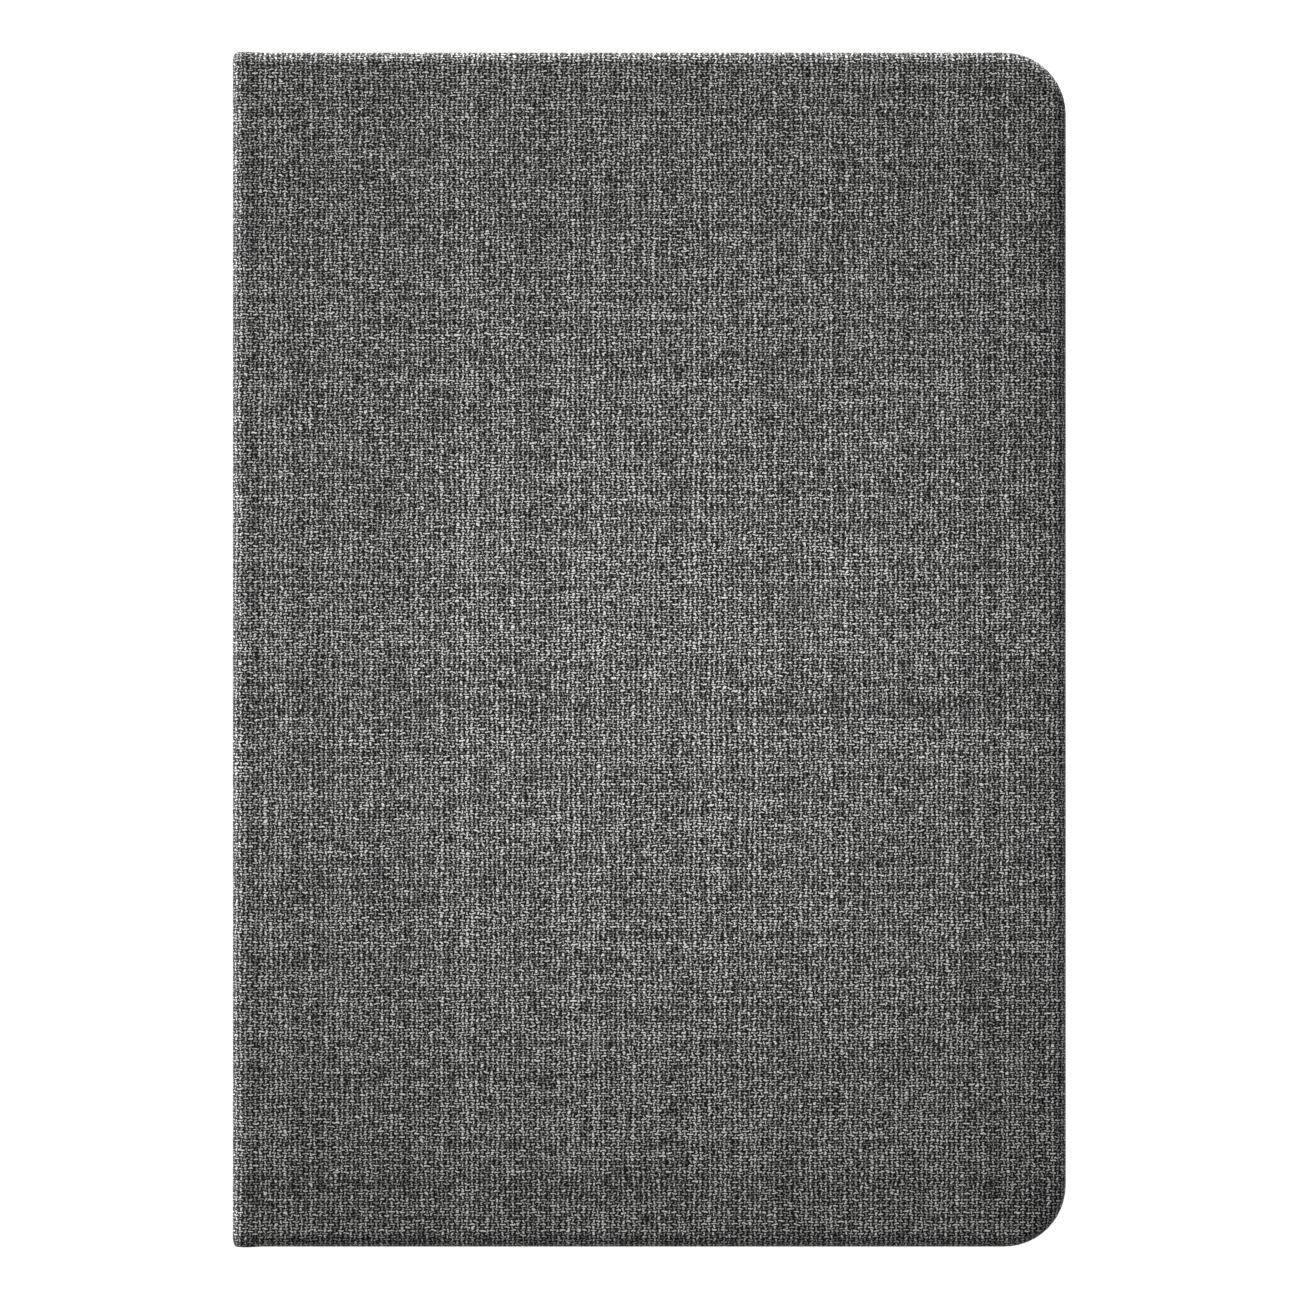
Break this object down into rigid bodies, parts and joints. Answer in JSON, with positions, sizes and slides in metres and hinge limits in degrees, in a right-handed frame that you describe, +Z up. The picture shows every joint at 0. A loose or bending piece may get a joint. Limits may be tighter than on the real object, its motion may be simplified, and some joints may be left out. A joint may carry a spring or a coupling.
{
  "type": "tablet keyboard case",
  "caption": "Fabric folio case for a tablet, closed, with a slim keyboard and touchpad inside the front cover, a moulded tray and a folding back kickstand.",
  "frame": {"origin": "middle of the footprint, on the surface it lies on", "axes": "+X from the spine to the free edge, +Y along the long side towards the tablet's power button, +Z up from the back cover to the front cover"},
  "size_m": [0.182, 0.2608, 0.021],
  "materials": {
    "cover_weave": "grey melange plain weave",
    "stiffener": "calendered board",
    "microfibre": "short brushed nap",
    "adhesive": "thin film",
    "tray_plastic": "fine moulded texture",
    "magnet": "nickel plated",
    "hinge_steel": "stamped",
    "pin_steel": "turned",
    "deck_plastic": "fine moulded texture",
    "key_plastic": "soft touch",
    "pad_glass": "satin sheet",
    "circuit": "solder mask",
    "battery_wrap": "heat shrink film",
    "film": "clear amber film",
    "silicone": "translucent silicone",
    "bumper_rubber": "soft rubber",
    "plate_metal": "stamped sheet",
    "screw_steel": "black oxide",
    "socket_metal": "drawn shell",
    "lens": "diffusing",
    "switch_plastic": "moulded"
  },
  "bodies": {
    "tablet_back": {"tablet_tray": "tray_plastic", "tray_lining": "microfibre", "tray_bond_tape": "adhesive", "upper_back_board": "stiffener", "upper_back_fabric": "cover_weave", "anchor_strip_board": "stiffener", "anchor_strip_fabric": "cover_weave", "tray_magnets": "magnet", "hinge_fixed_leaves": "hinge_steel", "hinge_pins": "pin_steel"},
    "kickstand": {"kickstand_board": "stiffener", "kickstand_fabric": "cover_weave", "kickstand_liner": "microfibre", "kickstand_magnets": "magnet", "hinge_moving_leaves": "hinge_steel"},
    "spine": {"spine_board": "stiffener", "spine_fabric": "cover_weave", "spine_liner": "microfibre"},
    "keyboard_cover": {"front_board": "stiffener", "front_fabric": "cover_weave", "front_liner": "microfibre", "front_magnets": "magnet", "keyboard_base_shell": "deck_plastic", "keyboard_top_plate": "deck_plastic", "switch_membrane": "film", "support_plate": "plate_metal", "rubber_domes": "silicone", "main_circuit_board": "circuit", "flat_cables": "film", "battery_cell": "battery_wrap", "charging_socket": "socket_metal", "indicator_lenses": "lens", "power_switch_body": "switch_plastic", "base_screws": "screw_steel", "screen_bumpers": "bumper_rubber"},
    "touchpad": {"touchpad_plate": "pad_glass", "touchpad_sensor_board": "circuit"},
    "power_slider": {"power_slider": "switch_plastic"},
    "a_row_keys": {"a_row_keys": "key_plastic"},
    "alt_left_key": {"alt_left_key": "key_plastic"},
    "alt_right_key": {"alt_right_key": "key_plastic"},
    "arrow_down_key": {"arrow_down_key": "key_plastic"},
    "arrow_left_key": {"arrow_left_key": "key_plastic"},
    "arrow_right_key": {"arrow_right_key": "key_plastic"},
    "arrow_up_key": {"arrow_up_key": "key_plastic"},
    "backspace_key": {"backspace_key": "key_plastic"},
    "caps_key": {"caps_key": "key_plastic"},
    "command_left_key": {"command_left_key": "key_plastic"},
    "command_right_key": {"command_right_key": "key_plastic"},
    "ctrl_key": {"ctrl_key": "key_plastic"},
    "enter_key": {"enter_key": "key_plastic"},
    "fn_key": {"fn_key": "key_plastic"},
    "function_row_keys": {"function_row_keys": "key_plastic"},
    "number_row_keys": {"number_row_keys": "key_plastic"},
    "q_row_keys": {"q_row_keys": "key_plastic"},
    "shift_left_key": {"shift_left_key": "key_plastic"},
    "shift_right_key": {"shift_right_key": "key_plastic"},
    "space_key": {"space_key": "key_plastic"},
    "tab_key": {"tab_key": "key_plastic"},
    "z_row_keys": {"z_row_keys": "key_plastic"}
  },
  "joints": [
    {"name": "spine_fold", "type": "hinge", "parent": "tablet_back", "child": "spine", "pos_m": [-0.091, 0, 0], "axis": [0, -1, 0], "range_deg": [0, 90]},
    {"name": "cover_fold", "type": "hinge", "parent": "spine", "child": "keyboard_cover", "pos_m": [-0.091, 0, 0.021], "axis": [0, -1, 0], "range_deg": [0, 90]},
    {"name": "kickstand_fold", "type": "hinge", "parent": "tablet_back", "child": "kickstand", "pos_m": [0.0045, 0, 0.0016], "axis": [0, -1, 0], "range_deg": [0, 100]},
    {"name": "touchpad_press", "type": "slide", "parent": "keyboard_cover", "child": "touchpad", "axis": [0, 0, 1], "range_m": [0, 0.0004], "stiffness_N_per_m": 1500, "springref_m": -0.001, "deforming": ["rubber_domes"]},
    {"name": "power_slide", "type": "slide", "parent": "keyboard_cover", "child": "power_slider", "axis": [1, 0, 0], "range_m": [0, 0.003]},
    {"name": "a_row_press", "type": "slide", "parent": "keyboard_cover", "child": "a_row_keys", "axis": [0, 0, 1], "range_m": [0, 0.0012], "stiffness_N_per_m": 2750, "springref_m": -0.001, "deforming": ["rubber_domes"]},
    {"name": "alt_left_press", "type": "slide", "parent": "keyboard_cover", "child": "alt_left_key", "axis": [0, 0, 1], "range_m": [0, 0.0012], "stiffness_N_per_m": 250, "springref_m": -0.001, "deforming": ["rubber_domes"]},
    {"name": "alt_right_press", "type": "slide", "parent": "keyboard_cover", "child": "alt_right_key", "axis": [0, 0, 1], "range_m": [0, 0.0012], "stiffness_N_per_m": 250, "springref_m": -0.001, "deforming": ["rubber_domes"]},
    {"name": "arrow_down_press", "type": "slide", "parent": "keyboard_cover", "child": "arrow_down_key", "axis": [0, 0, 1], "range_m": [0, 0.0012], "stiffness_N_per_m": 250, "springref_m": -0.001, "deforming": ["rubber_domes"]},
    {"name": "arrow_left_press", "type": "slide", "parent": "keyboard_cover", "child": "arrow_left_key", "axis": [0, 0, 1], "range_m": [0, 0.0012], "stiffness_N_per_m": 250, "springref_m": -0.001, "deforming": ["rubber_domes"]},
    {"name": "arrow_right_press", "type": "slide", "parent": "keyboard_cover", "child": "arrow_right_key", "axis": [0, 0, 1], "range_m": [0, 0.0012], "stiffness_N_per_m": 250, "springref_m": -0.001, "deforming": ["rubber_domes"]},
    {"name": "arrow_up_press", "type": "slide", "parent": "keyboard_cover", "child": "arrow_up_key", "axis": [0, 0, 1], "range_m": [0, 0.0012], "stiffness_N_per_m": 250, "springref_m": -0.001, "deforming": ["rubber_domes"]},
    {"name": "backspace_press", "type": "slide", "parent": "keyboard_cover", "child": "backspace_key", "axis": [0, 0, 1], "range_m": [0, 0.0012], "stiffness_N_per_m": 250, "springref_m": -0.001, "deforming": ["rubber_domes"]},
    {"name": "caps_press", "type": "slide", "parent": "keyboard_cover", "child": "caps_key", "axis": [0, 0, 1], "range_m": [0, 0.0012], "stiffness_N_per_m": 250, "springref_m": -0.001, "deforming": ["rubber_domes"]},
    {"name": "command_left_press", "type": "slide", "parent": "keyboard_cover", "child": "command_left_key", "axis": [0, 0, 1], "range_m": [0, 0.0012], "stiffness_N_per_m": 250, "springref_m": -0.001, "deforming": ["rubber_domes"]},
    {"name": "command_right_press", "type": "slide", "parent": "keyboard_cover", "child": "command_right_key", "axis": [0, 0, 1], "range_m": [0, 0.0012], "stiffness_N_per_m": 250, "springref_m": -0.001, "deforming": ["rubber_domes"]},
    {"name": "ctrl_press", "type": "slide", "parent": "keyboard_cover", "child": "ctrl_key", "axis": [0, 0, 1], "range_m": [0, 0.0012], "stiffness_N_per_m": 250, "springref_m": -0.001, "deforming": ["rubber_domes"]},
    {"name": "enter_press", "type": "slide", "parent": "keyboard_cover", "child": "enter_key", "axis": [0, 0, 1], "range_m": [0, 0.0012], "stiffness_N_per_m": 250, "springref_m": -0.001, "deforming": ["rubber_domes"]},
    {"name": "fn_press", "type": "slide", "parent": "keyboard_cover", "child": "fn_key", "axis": [0, 0, 1], "range_m": [0, 0.0012], "stiffness_N_per_m": 250, "springref_m": -0.001, "deforming": ["rubber_domes"]},
    {"name": "function_row_press", "type": "slide", "parent": "keyboard_cover", "child": "function_row_keys", "axis": [0, 0, 1], "range_m": [0, 0.0012], "stiffness_N_per_m": 3500, "springref_m": -0.001, "deforming": ["rubber_domes"]},
    {"name": "number_row_press", "type": "slide", "parent": "keyboard_cover", "child": "number_row_keys", "axis": [0, 0, 1], "range_m": [0, 0.0012], "stiffness_N_per_m": 3250, "springref_m": -0.001, "deforming": ["rubber_domes"]},
    {"name": "q_row_press", "type": "slide", "parent": "keyboard_cover", "child": "q_row_keys", "axis": [0, 0, 1], "range_m": [0, 0.0012], "stiffness_N_per_m": 3250, "springref_m": -0.001, "deforming": ["rubber_domes"]},
    {"name": "shift_left_press", "type": "slide", "parent": "keyboard_cover", "child": "shift_left_key", "axis": [0, 0, 1], "range_m": [0, 0.0012], "stiffness_N_per_m": 250, "springref_m": -0.001, "deforming": ["rubber_domes"]},
    {"name": "shift_right_press", "type": "slide", "parent": "keyboard_cover", "child": "shift_right_key", "axis": [0, 0, 1], "range_m": [0, 0.0012], "stiffness_N_per_m": 250, "springref_m": -0.001, "deforming": ["rubber_domes"]},
    {"name": "space_press", "type": "slide", "parent": "keyboard_cover", "child": "space_key", "axis": [0, 0, 1], "range_m": [0, 0.0012], "stiffness_N_per_m": 250, "springref_m": -0.001, "deforming": ["rubber_domes"]},
    {"name": "tab_press", "type": "slide", "parent": "keyboard_cover", "child": "tab_key", "axis": [0, 0, 1], "range_m": [0, 0.0012], "stiffness_N_per_m": 250, "springref_m": -0.001, "deforming": ["rubber_domes"]},
    {"name": "z_row_press", "type": "slide", "parent": "keyboard_cover", "child": "z_row_keys", "axis": [0, 0, 1], "range_m": [0, 0.0012], "stiffness_N_per_m": 2500, "springref_m": -0.001, "deforming": ["rubber_domes"]}
  ]
}
